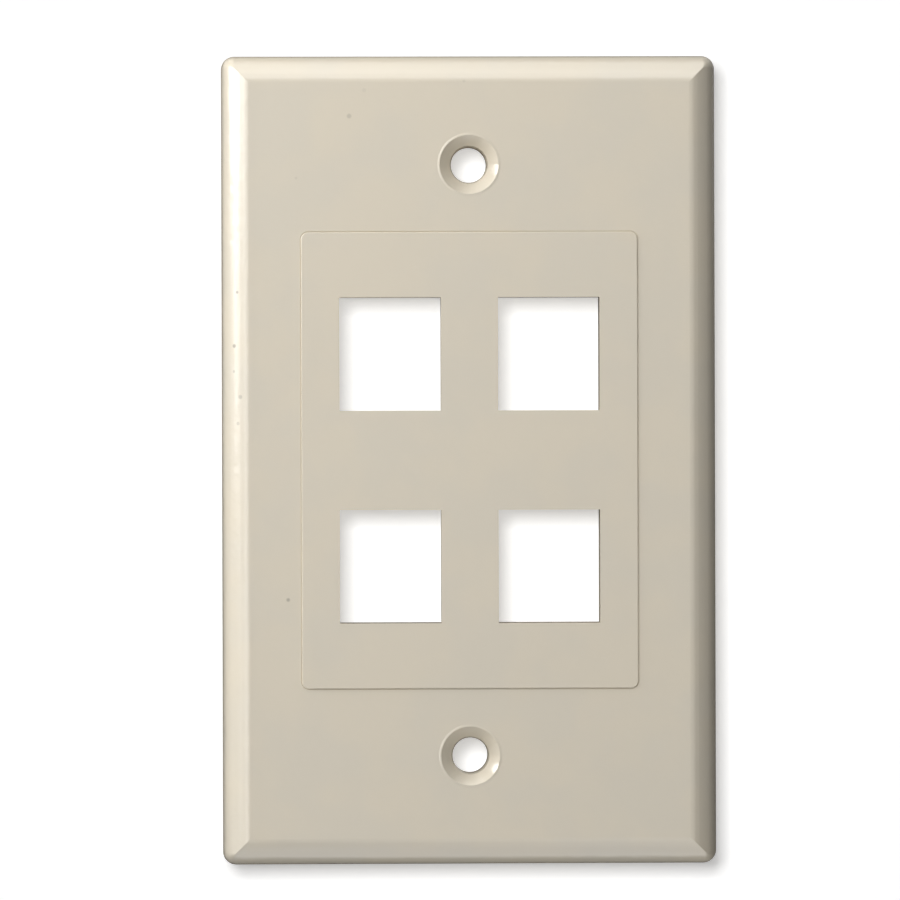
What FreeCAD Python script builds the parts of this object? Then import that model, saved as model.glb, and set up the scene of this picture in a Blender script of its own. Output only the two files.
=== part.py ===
# Four-port keystone faceplate for a single-gang wall box, moulded in one piece.
#
# Millimetres. X runs across the plate, +Z is up, and the front faces -Y.
# The origin is the centre of the rear rim, the plane y = 0 that meets the wall.
# A height is measured forward from that plane, so a height h lies at y = -h.

import FreeCAD, Part
import math
import os

from FreeCAD import Vector

# Plate outline and section
plate_width = 69.85
plate_height = 114.3
corner_radius = 1.85
face_height = 5.6
wall = 2.2

# Front edge, from the face outward: a soft blend, a slightly crowned bevel, and a round shoulder
# that turns into the drafted side
bevel_width = 3.9
bevel_inner_slope = 28.0
bevel_outer_slope = 42.0
face_blend_radius = 2.6
shoulder_radius = 3.4
side_draft = 5.0

# Hollow behind the face, which follows the outside at an even wall
hollow_corner_radius = 1.0

# Raised panel that carries the ports, with a fine groove at its foot
panel_width = 47.35
panel_height = 64.25
panel_rise = 0.2
panel_corner_radius = 1.0
panel_side_run = 0.04
panel_edge_radius = 0.06
groove_width = 0.16
groove_depth = 0.1

# Screw holes for the wall box
screw_spacing = 83.3
screw_bore_radius = 2.5
throat_radius = 2.68
throat_depth = 0.9
countersink_radius = 4.1
countersink_angle = 90.0
lip_width = 0.35
lip_rise = 0.04
boss_radius = 4.9
boss_setback = 0.3

# Ports, two across and two down
port_columns = 2
port_rows = 2
port_pitch_x = 22.35
port_pitch_z = 29.95
port_width = 14.3
port_height = 15.95

# Receptacle behind each port, with depths measured back from the panel's front
cavity_width = 14.8
front_lip_depth = 3.0
sill_depth = 6.5
lintel_depth = 4.0
hook_pocket = 2.0
latch_pocket = 4.0
catch_depth = 8.1
hook_catch_drop = 1.1
latch_catch_rise = 2.15
catch_lead = 0.8
receptacle_depth = 9.8
receptacle_wall = 1.5
receptacle_end_wall = 1.6
receptacle_corner_radius = 0.8

# Stiffening webs between the receptacles and beside the bosses
web_thickness = 1.2
web_setback = 0.6
gusset_reach = 6.0

overlap = 0.3
panel_front = face_height + panel_rise
inner_face_height = face_height - wall


def at_height(shape, height):
    """Move a flat shape drawn at y = 0 forward to the given height."""
    shape.translate(Vector(0, -height, 0))
    return shape


def rounded_outline(width, height, radius):
    """Rounded rectangle round the origin, drawn in the wall plane."""
    x = width / 2
    z = height / 2
    bow = radius * (1 - math.sqrt(0.5))
    edges = []
    corners = [(1, 1), (-1, 1), (-1, -1), (1, -1)]
    ends = []
    for sx, sz in corners:
        on_side = Vector(sx * x, 0, sz * (z - radius))
        middle = Vector(sx * (x - bow), 0, sz * (z - bow))
        on_end = Vector(sx * (x - radius), 0, sz * z)
        start, stop = (on_side, on_end) if sx * sz > 0 else (on_end, on_side)
        ends.append((start, middle, stop))
    for index, (start, middle, stop) in enumerate(ends):
        edges.append(Part.Arc(start, middle, stop).toShape())
        following = ends[(index + 1) % len(ends)][0]
        edges.append(Part.LineSegment(stop, following).toShape())
    return Part.Wire(edges)


def block(x_low, x_high, y_low, y_high, z_low, z_high):
    """Plain block between two corners."""
    corner = Vector(x_low, y_low, z_low)
    return Part.makeBox(x_high - x_low, y_high - y_low, z_high - z_low, corner)


def edge_arcs():
    """Arcs of the front edge from the face outward, as (inset, height, radius, slope, slope).

    The inset and height place an arc's centre in from the rim outline and above the wall plane,
    and the slopes are those at its two ends. The arcs join smoothly, and the drafted side runs on
    from the last one down to the rim outline, which settles the bevel's own radius.
    """
    inner = math.radians(bevel_inner_slope)
    outer = math.radians(bevel_outer_slope)
    side = math.radians(90.0 - side_draft)
    lean = math.tan(math.radians(side_draft))

    blend_inset = bevel_width
    blend_height = face_height - face_blend_radius
    start_inset = blend_inset - face_blend_radius * math.sin(inner)
    start_height = blend_height + face_blend_radius * math.cos(inner)

    shoulder_run = shoulder_radius * (math.sin(side) - math.sin(outer))
    shoulder_drop = shoulder_radius * (math.cos(outer) - math.cos(side))
    run_share = math.sin(outer) - math.sin(inner)
    drop_share = math.cos(inner) - math.cos(outer)
    room = start_inset - shoulder_run - lean * (start_height - shoulder_drop)
    bevel_radius = room / (run_share - lean * drop_share)

    bevel_inset = start_inset + bevel_radius * math.sin(inner)
    bevel_height = start_height - bevel_radius * math.cos(inner)
    shoulder_inset = bevel_inset - (bevel_radius - shoulder_radius) * math.sin(outer)
    shoulder_height = bevel_height + (bevel_radius - shoulder_radius) * math.cos(outer)
    return [
        (blend_inset, blend_height, face_blend_radius, 0.0, inner),
        (bevel_inset, bevel_height, bevel_radius, inner, outer),
        (shoulder_inset, shoulder_height, shoulder_radius, outer, side),
    ]


def foot_inset(depth):
    """How far inside the rim outline the surface at a depth under the outside meets the wall plane."""
    return depth / math.cos(math.radians(side_draft))


def edge_section(span, depth):
    """Section over a span, drawn in the plane z = 0: the outside, or the surface at a depth under it."""
    foot_x = span / 2 - foot_inset(depth)

    def on_arc(side, arc, slope):
        inset, height, radius = arc[:3]
        x = span / 2 - inset + (radius - depth) * math.sin(slope)
        return Vector(side * x, -height - (radius - depth) * math.cos(slope), 0)

    edges = []
    crest = []
    for side in (1, -1):
        arcs = edge_arcs()
        for arc in arcs:
            low, high = arc[3:]
            points = [on_arc(side, arc, slope) for slope in (low, (low + high) / 2, high)]
            edges.append(Part.Arc(*points).toShape())
        foot = Vector(side * foot_x, 0, 0)
        edges.append(Part.LineSegment(points[2], foot).toShape())
        crest.append(on_arc(side, arcs[0], 0.0))
    edges.append(Part.LineSegment(*crest).toShape())
    edges.append(Part.LineSegment(Vector(foot_x, 0, 0), Vector(-foot_x, 0, 0)).toShape())
    return Part.Face(Part.Wire(Part.sortEdges(edges)[0]))


def corner_wedge(depth, radius):
    """Quarter turn of the front edge that rounds one corner, about the origin's Y axis."""
    section = edge_section(plate_width, depth)
    section.translate(Vector(radius + foot_inset(depth) - plate_width / 2, 0, 0))
    window = Part.makePlane(radius, face_height, Vector(0, -face_height, 0), Vector(0, 0, 1))
    return section.common(window).Faces[0].revolve(Vector(0, 0, 0), Vector(0, -1, 0), 90)


def moulded_form(depth, radius):
    """The plate's outside as a solid, or what lies a given depth under it.

    The edges meet in mitres at the face, and the corners are rounded from the rim upward.
    """
    across = edge_section(plate_width, depth).extrude(Vector(0, 0, plate_height))
    across.translate(Vector(0, 0, -plate_height / 2))
    along = edge_section(plate_height, depth).extrude(Vector(0, 0, plate_width))
    along.translate(Vector(0, 0, -plate_width / 2))
    along.rotate(Vector(0, 0, 0), Vector(0, 1, 0), 90)
    form = across.common(along)

    corner_x = plate_width / 2 - foot_inset(depth) - radius
    corner_z = plate_height / 2 - foot_inset(depth) - radius
    wedges = []
    for turn, (sx, sz) in enumerate([(1, 1), (1, -1), (-1, -1), (-1, 1)]):
        square = block(0, radius, -face_height, 0, 0, radius)
        wedge = corner_wedge(depth, radius)
        for piece in (square, wedge):
            piece.rotate(Vector(0, 0, 0), Vector(0, 1, 0), 90 * turn)
            piece.translate(Vector(sx * corner_x, 0, sz * corner_z))
        form = form.cut(square)
        wedges.append(wedge)
    return form.fuse(wedges).removeSplitter()


def shell():
    """Solid plate with an evenly thick wall, hollow behind."""
    outside = moulded_form(0.0, corner_radius)
    inside = moulded_form(wall, hollow_corner_radius)
    return outside.cut(inside)


def raised_panel():
    """Low panel with steep sides and a softened front edge."""
    foot = rounded_outline(panel_width, panel_height, panel_corner_radius)
    crest = rounded_outline(
        panel_width - 2 * panel_side_run,
        panel_height - 2 * panel_side_run,
        panel_corner_radius - panel_side_run,
    )
    sunk = rounded_outline(panel_width, panel_height, panel_corner_radius)
    at_height(foot, face_height)
    at_height(crest, panel_front)
    at_height(sunk, face_height - groove_depth - overlap)
    panel = Part.makeLoft([sunk, foot, crest], True, True)
    rim = [edge for edge in panel.Edges if abs(edge.BoundBox.YMax + panel_front) < 1e-4]
    return panel.makeFillet(panel_edge_radius, rim)


def panel_groove():
    """Fine moat in the face, round the foot of the panel."""
    outer = rounded_outline(
        panel_width + 2 * groove_width,
        panel_height + 2 * groove_width,
        panel_corner_radius + groove_width,
    )
    inner = rounded_outline(panel_width, panel_height, panel_corner_radius)
    bottom = rounded_outline(
        panel_width + groove_width,
        panel_height + groove_width,
        panel_corner_radius + groove_width / 2,
    )
    at_height(outer, face_height)
    at_height(bottom, face_height - groove_depth)
    basin = Part.makeLoft([bottom, outer], True, True)
    core = Part.Face(at_height(inner, face_height)).extrude(Vector(0, groove_depth, 0))
    return basin.cut(core)


def turned(points):
    """Solid of revolution about the Y axis from (radius, height) points."""
    corners = [Vector(radius, -height, 0) for radius, height in points]
    profile = Part.Face(Part.makePolygon(corners + corners[:1]))
    return profile.revolve(Vector(0, 0, 0), Vector(0, 1, 0), 360)


def screw_lip():
    """Low rounded bead round the mouth of a countersink."""
    inner = countersink_radius - lip_width / 2
    outer = countersink_radius + lip_width
    foot = face_height - overlap
    crown = Vector((countersink_radius + outer) / 2, -face_height - lip_rise, 0)
    start = Vector(outer, -face_height, 0)
    stop = Vector(inner, -face_height, 0)
    edges = [
        Part.Arc(start, crown, stop).toShape(),
        Part.LineSegment(stop, Vector(inner, -foot, 0)).toShape(),
        Part.LineSegment(Vector(inner, -foot, 0), Vector(outer, -foot, 0)).toShape(),
        Part.LineSegment(Vector(outer, -foot, 0), start).toShape(),
    ]
    return Part.Face(Part.Wire(edges)).revolve(Vector(0, 0, 0), Vector(0, 1, 0), 360)


def screw_boss():
    """Tube behind the face that takes the screw's pull, with a gusset on each side."""
    boss = Part.makeCylinder(boss_radius, inner_face_height + overlap - boss_setback)
    boss.rotate(Vector(0, 0, 0), Vector(1, 0, 0), 90)
    boss.translate(Vector(0, -boss_setback, 0))
    reach = boss_radius + gusset_reach
    corners = [
        Vector(-reach, -inner_face_height - overlap, -web_thickness / 2),
        Vector(-reach, -inner_face_height, -web_thickness / 2),
        Vector(-boss_radius, -boss_setback - web_setback, -web_thickness / 2),
        Vector(boss_radius, -boss_setback - web_setback, -web_thickness / 2),
        Vector(reach, -inner_face_height, -web_thickness / 2),
        Vector(reach, -inner_face_height - overlap, -web_thickness / 2),
    ]
    gusset = Part.Face(Part.makePolygon(corners + corners[:1])).extrude(Vector(0, 0, web_thickness))
    return boss.fuse(gusset)


def screw_hole():
    """Countersink, short tapered throat and straight bore, as one cutting form."""
    slope = math.tan(math.radians(countersink_angle / 2))
    mouth_height = face_height + 1.0
    mouth_radius = countersink_radius + (mouth_height - face_height) * slope
    throat_height = face_height - (countersink_radius - throat_radius) / slope
    bore_height = throat_height - throat_depth
    return turned([
        (0, mouth_height),
        (mouth_radius, mouth_height),
        (throat_radius, throat_height),
        (screw_bore_radius, bore_height),
        (screw_bore_radius, -1.0),
        (0, -1.0),
    ])


def receptacle_body():
    """Outside of the frame that holds one jack, behind the panel."""
    x = cavity_width / 2 + receptacle_wall
    z_low = -port_height / 2 - hook_pocket - receptacle_end_wall
    z_high = port_height / 2 + latch_pocket + receptacle_end_wall
    front = -inner_face_height - overlap
    body = block(-x, x, front, receptacle_depth - panel_front, z_low, z_high)
    uprights = [edge for edge in body.Edges if edge.BoundBox.YLength > 1.0]
    return body.makeFillet(receptacle_corner_radius, uprights)


def receptacle_cavity():
    """Everything open in one port: the front opening, hook pocket, latch pocket and catches."""
    bottom = -port_height / 2
    top = port_height / 2
    hook_catch = bottom - hook_catch_drop
    latch_catch = top + latch_catch_rise
    lead_start = receptacle_depth - catch_lead
    back = receptacle_depth + 1.0
    steps = [
        (bottom, front_lip_depth),
        (bottom, sill_depth),
        (bottom - hook_pocket, sill_depth),
        (bottom - hook_pocket, catch_depth),
        (hook_catch, catch_depth),
        (hook_catch, lead_start),
        (hook_catch - catch_lead / 2, receptacle_depth),
        (hook_catch - catch_lead / 2, back),
        (latch_catch + catch_lead, back),
        (latch_catch + catch_lead, receptacle_depth),
        (latch_catch, lead_start),
        (latch_catch, catch_depth),
        (top + latch_pocket, catch_depth),
        (top + latch_pocket, lintel_depth),
        (top, lintel_depth),
        (top, front_lip_depth),
    ]
    corners = [Vector(-cavity_width / 2, depth - panel_front, z) for z, depth in steps]
    inside = Part.Face(Part.makePolygon(corners + corners[:1])).extrude(Vector(cavity_width, 0, 0))
    x = port_width / 2
    mouth = block(-x, x, -panel_front - 1.0, front_lip_depth + overlap - panel_front, bottom, top)
    return mouth.fuse(inside)


def port_centres():
    """Centres of the ports as (x, z)."""
    for row in range(port_rows):
        for column in range(port_columns):
            x = (column - (port_columns - 1) / 2) * port_pitch_x
            z = (row - (port_rows - 1) / 2) * port_pitch_z
            yield x, z


def webs():
    """Stiffening webs that tie neighbouring receptacles together behind the panel."""
    front = -inner_face_height - overlap
    back = -web_setback
    half = web_thickness / 2
    for row in range(port_rows):
        z = (row - (port_rows - 1) / 2) * port_pitch_z
        reach = (port_columns - 1) / 2 * port_pitch_x
        yield block(-reach, reach, front, back, z - half, z + half)
    for column in range(port_columns):
        x = (column - (port_columns - 1) / 2) * port_pitch_x
        reach = (port_rows - 1) / 2 * port_pitch_z
        yield block(x - half, x + half, front, back, -reach, reach)


def moved(shape, x, z):
    """Copy of a shape moved across the plate."""
    copy = shape.copy()
    copy.translate(Vector(x, 0, z))
    return copy


def faceplate():
    """The whole moulding as one solid."""
    screws = [(0, side * screw_spacing / 2) for side in (1, -1)]
    ports = list(port_centres())
    added = [raised_panel()]
    added += [moved(screw_lip(), x, z) for x, z in screws]
    added += [moved(screw_boss(), x, z) for x, z in screws]
    added += [moved(receptacle_body(), x, z) for x, z in ports]
    added += list(webs())
    removed = [moved(screw_hole(), x, z) for x, z in screws]
    removed += [moved(receptacle_cavity(), x, z) for x, z in ports]
    return shell().cut(panel_groove()).fuse(added).cut(removed).removeSplitter()


def main():
    os.makedirs("parts", exist_ok=True)
    plate = faceplate()
    solid = plate.Solids[0]
    solid.exportStep("parts/faceplate.step")
    box = solid.BoundBox
    print("solids", len(plate.Solids), "valid", solid.isValid(), "volume", round(solid.Volume, 1))
    print("x", round(box.XMin, 3), round(box.XMax, 3))
    print("y", round(box.YMin, 3), round(box.YMax, 3))
    print("z", round(box.ZMin, 3), round(box.ZMax, 3))


main()
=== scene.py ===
# Looks for the keystone faceplate: glossy ivory plastic, lit from the upper left, before white paper.
#
# Metres, in the part's own frame: X across the plate, +Z up, the front faces -Y, and the rear rim
# lies in the plane y = 0.

import math

import bpy
from mathutils import Matrix, Vector

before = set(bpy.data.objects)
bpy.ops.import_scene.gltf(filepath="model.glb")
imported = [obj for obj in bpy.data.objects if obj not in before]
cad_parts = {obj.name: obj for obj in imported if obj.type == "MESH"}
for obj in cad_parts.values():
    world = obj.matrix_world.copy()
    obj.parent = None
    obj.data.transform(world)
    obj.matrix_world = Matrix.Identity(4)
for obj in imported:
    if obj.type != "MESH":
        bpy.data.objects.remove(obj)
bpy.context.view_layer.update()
MM = 0.001

# Camera, from the plate's place and scale in the photograph, taken as 900 x 900 pixels
PHOTO_SIZE = 900
PLATE_CENTRE_PX = (468.7, 460.08)
PIXELS_PER_MM = 7.064
CAMERA_DISTANCE = 1000 * MM
CAMERA_LEFT = 27.6 * MM
CAMERA_RISE = 3.4 * MM
CAMERA_ROLL = math.radians(0.161)
SENSOR_WIDTH = 36.0
CLIP_NEAR = 10 * MM
CLIP_FAR = 20.0

# Ways that a sheet or a card faces
FACING_UP = (0, 0, 0)
FACING_FRONT = (math.radians(90), 0, 0)
FACING_LEFT = (math.radians(90), 0, math.radians(-90))

# Paper: the wall's distance behind the rear rim, and the floor's below the middle of the plate
PAPER_SIZE = 1.6
WALL_GAP = 25 * MM
FLOOR_DROP = 75 * MM
PAPER_WHITE = 0.8
PAPER_GLOW = 0.45

# Black cards that the gloss alone sees
REAR_CARD_SIZE = 0.3
RIGHT_CARD_SIZE = 0.9
RIGHT_CARD_PLACE = (0.4, -0.1, 0)

# Softboxes for the plate alone: name, place, width, height, and power in watts
PLATE_LAMPS = [
    ("key_box", (-0.10, -0.26, 0.40), 0.50, 0.35, 1.52),
    ("left_box", (-0.33, -0.12, 0.12), 0.10, 0.14, 0.45),
    ("left_edge_box", (-0.33, -0.02, 0.12), 0.08, 0.12, 0.36),
    ("front_box", (-0.28, -0.69, 0.28), 0.30, 0.30, 1.24),
    ("front_left_box", (-0.40, -0.69, 0.0), 0.30, 0.30, 0.87),
    ("side_box", (-0.66, -0.46, 0.0), 0.30, 0.30, 0.42),
    ("top_edge_box", (0.0, -0.02, 0.80), 0.50, 0.50, 1.15),
    ("low_box", (0.12, -0.32, -0.72), 0.40, 0.80, 1.72),
    ("low_edge_box", (0.0, 0.25, -0.78), 0.60, 0.60, 0.85),
    ("low_right_box", (0.56, -0.14, -0.56), 0.30, 0.30, 0.35),
    ("low_front_box", (0.15, -0.70, -0.38), 0.30, 0.30, 0.45),
    ("rear_box", (0.35, 0.65, 0.30), 0.45, 0.45, 4.5),
]

# Window-like panels on the left that show in the gloss alone, written in the same way
GLOSS_PANELS = [
    ("left_window", (-0.33, -0.18, 0.13), 0.42, 0.16, 1.2),
    ("left_window_foot", (-0.33, -0.12, 0.03), 0.07, 0.06, 0.08),
]

# Lamps for the paper alone, in the same way: the wall's is placed so that the plate's shadow is
# narrow and falls to the lower right, and the floor's is overhead
WALL_LAMP = ("wall_lamp", (-0.069, -1.0, 0.055), 0.09, 0.09, 7.45)
FLOOR_LAMP = ("floor_lamp", (-0.3, -0.5, 1.2), 0.4, 0.4, 13)

# Ivory plastic: its two tones, the size of the patches in which it drifts from one to the other,
# the part of the noise's range over which it does, and its gloss
IVORY_WARM = (0.675, 0.611, 0.496)
IVORY_COOL = (0.655, 0.600, 0.497)
DRIFT_SIZE = 9 * MM
DRIFT_LOW = 0.35
DRIFT_HIGH = 0.65
GLOSS_ROUGHNESS = 0.18
PLASTIC_IOR = 1.5

# Waviness of the moulded surface, and the finer grain under the gloss
WAVE_SIZE = 1.6 * MM
WAVE_HEIGHT = 0.03 * MM
GRAIN_SIZE = 0.5 * MM
GRAIN_HEIGHT = 0.004 * MM

# Knobbly stretch along the left bevel: where it begins and is full, and its bumps
KNOBBLY_FROM = -29.5 * MM
KNOBBLY_FULL = -31.0 * MM
KNOB_SIZE = 1.2 * MM
KNOB_HEIGHT = 0.04 * MM

# Dark specks of dirt in the front, and in the last five rows tiny pits on the left bevel whose shade is
# painted dark: across, up, radius in millimetres, and how dark
SPECKS_AND_PAINTED_PIT_SHADE = [
    (-16.87, 48.48, 0.42, 0.26),
    (-25.62, -19.60, 0.32, 0.50),
    (-24.35, 39.77, 0.25, 0.10),
    (-14.75, 52.13, 0.38, 0.08),
    (-0.67, 53.38, 0.25, 0.12),
    (-32.70, 23.73, 0.28, 0.60),
    (-32.29, 8.98, 0.36, 0.40),
    (-33.10, 16.17, 0.36, 0.65),
    (-33.16, 12.58, 0.26, 0.30),
    (-32.61, 5.25, 0.30, 0.32),
]
# Colour of the dirt specks, which also paints the shade in the pits
SPECK_AND_PIT_SHADE_COLOR = (0.16, 0.14, 0.11)
SPECK_ROUGHNESS = 0.6

# Where a speck or a pit's painted shade begins to fade and where it ends, in radii, and how far in
# front of the plate the line starts that finds its point on the surface
SPECK_CORE = 0.4
SPECK_EDGE = 1.1
PROBE_DISTANCE = 1.0


def link(tree, source, target):
    tree.links.new(source, target)


def combined(tree, operation, first, second):
    """Two values put together by one operation."""
    node = tree.nodes.new("ShaderNodeMath")
    node.operation = operation
    link(tree, first, node.inputs[0])
    link(tree, second, node.inputs[1])
    return node.outputs[0]


def aim(obj, target):
    """Turns a lamp or camera so that it looks at a point."""
    direction = Vector(target) - obj.location
    obj.rotation_mode = "QUATERNION"
    obj.rotation_quaternion = direction.to_track_quat("-Z", "Y")


def add_camera():
    """Long lens, a little to the left, looking nearly square at the front."""
    data = bpy.data.cameras.new("camera")
    camera = bpy.data.objects.new("camera", data)
    bpy.context.scene.collection.objects.link(camera)
    middle = PHOTO_SIZE / 2
    frame_x = (middle - PLATE_CENTRE_PX[0]) / PIXELS_PER_MM * MM
    frame_z = (PLATE_CENTRE_PX[1] - middle) / PIXELS_PER_MM * MM
    camera.location = (-CAMERA_LEFT, -CAMERA_DISTANCE, CAMERA_RISE)
    aim(camera, (frame_x, 0, frame_z))
    roll = Matrix.Rotation(-CAMERA_ROLL, 3, "Z").to_quaternion()
    camera.rotation_quaternion = camera.rotation_quaternion @ roll
    data.sensor_width = SENSOR_WIDTH
    frame_width = PHOTO_SIZE / PIXELS_PER_MM * MM
    data.lens = SENSOR_WIDTH * CAMERA_DISTANCE / frame_width
    data.clip_start = CLIP_NEAR
    data.clip_end = CLIP_FAR
    bpy.context.scene.camera = camera


def receivers(name, objects):
    """Group of objects that a lamp is kept to."""
    group = bpy.data.collections.new(name)
    for obj in objects:
        group.objects.link(obj)
    return group


def add_lamp(row, lit):
    """Rectangular softbox aimed at the middle of the plate, which lights one group of objects."""
    name, place, width, height, power = row
    data = bpy.data.lights.new(name, "AREA")
    data.shape = "RECTANGLE"
    data.size = width
    data.size_y = height
    data.energy = power
    lamp = bpy.data.objects.new(name, data)
    bpy.context.scene.collection.objects.link(lamp)
    lamp.location = place
    aim(lamp, (0, 0, 0))
    lamp.visible_camera = False
    lamp.light_linking.receiver_collection = lit
    return lamp


def light_the_plate(lit):
    """Key light from the upper left and in front, fill from above and below, and one lamp behind."""
    for row in PLATE_LAMPS:
        add_lamp(row, lit)
    for row in GLOSS_PANELS:
        add_lamp(row, lit).visible_diffuse = False


def light_the_paper(wall, floor):
    """One lamp for each sheet, which doesn't show in its gloss."""
    for row, sheet in ((WALL_LAMP, wall), (FLOOR_LAMP, floor)):
        lit = receivers(sheet.name + "_light", [sheet])
        add_lamp(row, lit).visible_glossy = False


def camera_or_glossy(tree):
    """Factor that is 1 for what the camera sees, in a mirror or through glass too."""
    path = tree.nodes.new("ShaderNodeLightPath")
    most = path.outputs["Is Camera Ray"]
    for name in ("Is Glossy Ray", "Is Transmission Ray"):
        most = combined(tree, "MAXIMUM", most, path.outputs[name])
    return most


def light_the_world():
    """White surroundings where they are seen, which give no light of their own."""
    world = bpy.data.worlds.new("surroundings")
    world.use_nodes = True
    tree = world.node_tree
    tree.nodes.clear()
    output = tree.nodes.new("ShaderNodeOutputWorld")
    mix = tree.nodes.new("ShaderNodeMixShader")
    unlit = tree.nodes.new("ShaderNodeBackground")
    seen = tree.nodes.new("ShaderNodeBackground")
    unlit.inputs["Strength"].default_value = 0
    seen.inputs["Color"].default_value = (1, 1, 1, 1)
    link(tree, camera_or_glossy(tree), mix.inputs["Fac"])
    link(tree, unlit.outputs[0], mix.inputs[1])
    link(tree, seen.outputs[0], mix.inputs[2])
    link(tree, mix.outputs[0], output.inputs["Surface"])
    bpy.context.scene.world = world


def bare_material(name):
    """New material, its empty tree, and the socket that its surface goes to."""
    material = bpy.data.materials.new(name)
    material.use_nodes = True
    tree = material.node_tree
    tree.nodes.clear()
    output = tree.nodes.new("ShaderNodeOutputMaterial")
    return material, tree, output.inputs["Surface"]


def matte(tree, grey):
    """Matte surface of an even grey."""
    shader = tree.nodes.new("ShaderNodeBsdfDiffuse")
    shader.inputs["Color"].default_value = (grey, grey, grey, 1)
    return shader.outputs[0]


def paper_material():
    """White paper, which glows enough to read as white outside the shadow, and is clear from behind."""
    material, tree, surface = bare_material("white_paper")
    glow = tree.nodes.new("ShaderNodeEmission")
    glow.inputs["Strength"].default_value = PAPER_GLOW
    both = tree.nodes.new("ShaderNodeAddShader")
    clear = tree.nodes.new("ShaderNodeBsdfTransparent")
    face = tree.nodes.new("ShaderNodeNewGeometry")
    sided = tree.nodes.new("ShaderNodeMixShader")
    link(tree, glow.outputs[0], both.inputs[0])
    link(tree, matte(tree, PAPER_WHITE), both.inputs[1])
    link(tree, face.outputs["Backfacing"], sided.inputs["Fac"])
    link(tree, both.outputs[0], sided.inputs[1])
    link(tree, clear.outputs[0], sided.inputs[2])
    link(tree, sided.outputs[0], surface)
    return material


def card_material():
    """Black velvet."""
    material, tree, surface = bare_material("black_card")
    link(tree, matte(tree, 0), surface)
    return material


def add_sheet(name, size, location, rotation, material):
    """Flat square of the stage, which throws no light or shade on the plate."""
    mesh = bpy.data.meshes.new(name)
    half = size / 2
    corners = [(-half, -half, 0), (half, -half, 0), (half, half, 0), (-half, half, 0)]
    mesh.from_pydata(corners, [], [(0, 1, 2, 3)])
    mesh.materials.append(material)
    sheet = bpy.data.objects.new(name, mesh)
    bpy.context.scene.collection.objects.link(sheet)
    sheet.location = location
    sheet.rotation_euler = rotation
    sheet.visible_diffuse = False
    sheet.visible_glossy = False
    sheet.visible_shadow = False
    return sheet


def build_stage():
    """Wall behind the plate and floor below it, of one white paper."""
    paper = paper_material()
    wall = add_sheet("wall", PAPER_SIZE, (0, WALL_GAP, 0), FACING_FRONT, paper)
    floor = add_sheet("floor", PAPER_SIZE, (0, 0, -FLOOR_DROP), FACING_UP, paper)
    return wall, floor


def set_black_cards():
    """One card between plate and wall, which darkens the plate's outline, and one on the right."""
    velvet = card_material()
    cards = [
        add_sheet("rear_card", REAR_CARD_SIZE, (0, WALL_GAP / 2, 0), FACING_FRONT, velvet),
        add_sheet("right_card", RIGHT_CARD_SIZE, RIGHT_CARD_PLACE, FACING_LEFT, velvet),
    ]
    for card in cards:
        card.visible_camera = False
        card.visible_glossy = True


def noise(tree, place, size, detail):
    """Soft random field of a given feature size over the plate."""
    field = tree.nodes.new("ShaderNodeTexNoise")
    field.inputs["Scale"].default_value = 1 / size
    field.inputs["Detail"].default_value = detail
    link(tree, place, field.inputs["Vector"])
    return field.outputs["Fac"]


def mixed(tree, factor, low, high):
    """Colour that runs from one to another as a factor goes from 0 to 1."""
    mix = tree.nodes.new("ShaderNodeMix")
    mix.data_type = "RGBA"
    link(tree, factor, mix.inputs["Factor"])
    for socket, value in (("A", low), ("B", high)):
        target = next(i for i in mix.inputs if i.name == socket and i.type == "RGBA")
        if isinstance(value, tuple):
            target.default_value = (*value, 1)
        else:
            link(tree, value, target)
    return next(o for o in mix.outputs if o.type == "RGBA")


def ranged(tree, value, from_low, from_high, to_low, to_high):
    """Value mapped smoothly from one range to another."""
    step = tree.nodes.new("ShaderNodeMapRange")
    step.interpolation_type = "SMOOTHSTEP"
    step.inputs["From Min"].default_value = from_low
    step.inputs["From Max"].default_value = from_high
    step.inputs["To Min"].default_value = to_low
    step.inputs["To Max"].default_value = to_high
    link(tree, value, step.inputs["Value"])
    return step.outputs["Result"]


def point_on_front(plate, across, up):
    """Point of the plate's front, found straight from in front."""
    hit = plate.ray_cast((across, -PROBE_DISTANCE, up), (0, 1, 0))
    return hit[1]


def speck_and_pit_shade_mask(tree, place, plate):
    """Factor that is above 0 in each dirt speck and each pit's painted shade, round the point where it
    sits on the plate's front.
    """
    mask = None
    for across, up, radius, darkness in SPECKS_AND_PAINTED_PIT_SHADE:
        reach = tree.nodes.new("ShaderNodeVectorMath")
        reach.operation = "DISTANCE"
        link(tree, place, reach.inputs[0])
        reach.inputs[1].default_value = point_on_front(plate, across * MM, up * MM)
        core = SPECK_CORE * radius * MM
        edge = SPECK_EDGE * radius * MM
        dot = ranged(tree, reach.outputs["Value"], core, edge, darkness, 0)
        mask = combined(tree, "MAXIMUM", mask, dot) if mask else dot
    return mask


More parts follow.
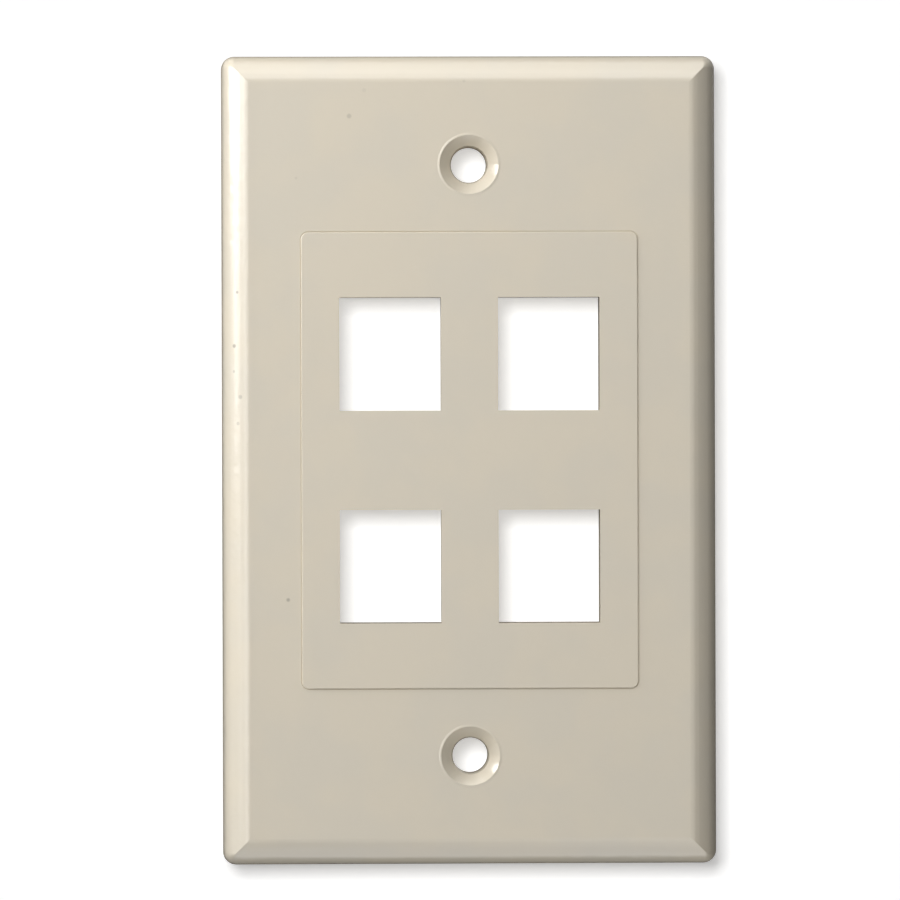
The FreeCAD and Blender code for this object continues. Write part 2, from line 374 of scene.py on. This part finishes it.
def left_bevel_knobs(tree, place):
    """Height of the small bumps along the left bevel, which fade out towards the face."""
    axes = tree.nodes.new("ShaderNodeSeparateXYZ")
    link(tree, place, axes.inputs[0])
    reach = ranged(tree, axes.outputs["X"], KNOBBLY_FULL, KNOBBLY_FROM, 1, 0)
    return combined(tree, "MULTIPLY", reach, noise(tree, place, KNOB_SIZE, detail=1))


def bumped(tree, height, distance, under=None):
    """Normal raised by a height field, on top of another one."""
    bump = tree.nodes.new("ShaderNodeBump")
    bump.inputs["Distance"].default_value = distance
    link(tree, height, bump.inputs["Height"])
    if under:
        link(tree, under, bump.inputs["Normal"])
    return bump.outputs["Normal"]


def ivory_plastic(plate):
    """Glossy moulded plastic in light almond, barely uneven, with dirt specks and painted shade in
    pits.
    """
    material = bpy.data.materials.new("ivory_plastic")
    material.use_nodes = True
    tree = material.node_tree
    plastic = tree.nodes["Principled BSDF"]
    place = tree.nodes.new("ShaderNodeTexCoord").outputs["Object"]
    drift = ranged(tree, noise(tree, place, DRIFT_SIZE, detail=2), DRIFT_LOW, DRIFT_HIGH, 0, 1)
    speck_and_pit_shade = speck_and_pit_shade_mask(tree, place, plate)
    clean = mixed(tree, drift, IVORY_COOL, IVORY_WARM)
    # Dark specks of dirt, and painted shade in the pits along the left bevel
    link(tree, mixed(tree, speck_and_pit_shade, clean, SPECK_AND_PIT_SHADE_COLOR), plastic.inputs["Base Color"])
    roughness = ranged(tree, speck_and_pit_shade, 0, 1, GLOSS_ROUGHNESS, SPECK_ROUGHNESS)
    link(tree, roughness, plastic.inputs["Roughness"])
    waves = bumped(tree, noise(tree, place, WAVE_SIZE, detail=1), WAVE_HEIGHT)
    grain = bumped(tree, noise(tree, place, GRAIN_SIZE, detail=2), GRAIN_HEIGHT, waves)
    knobs = bumped(tree, left_bevel_knobs(tree, place), KNOB_HEIGHT, grain)
    link(tree, knobs, plastic.inputs["Normal"])
    plastic.inputs["IOR"].default_value = PLASTIC_IOR
    return material


def dress_plate():
    """Puts the one plastic on the whole plate."""
    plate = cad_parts["faceplate"]
    plate.data.materials.clear()
    plate.data.materials.append(ivory_plastic(plate))
    return plate


add_camera()
light_the_world()
light_the_plate(receivers("plate_light", [dress_plate()]))
light_the_paper(*build_stage())
set_black_cards()

bpy.context.scene.view_settings.view_transform = "Standard"
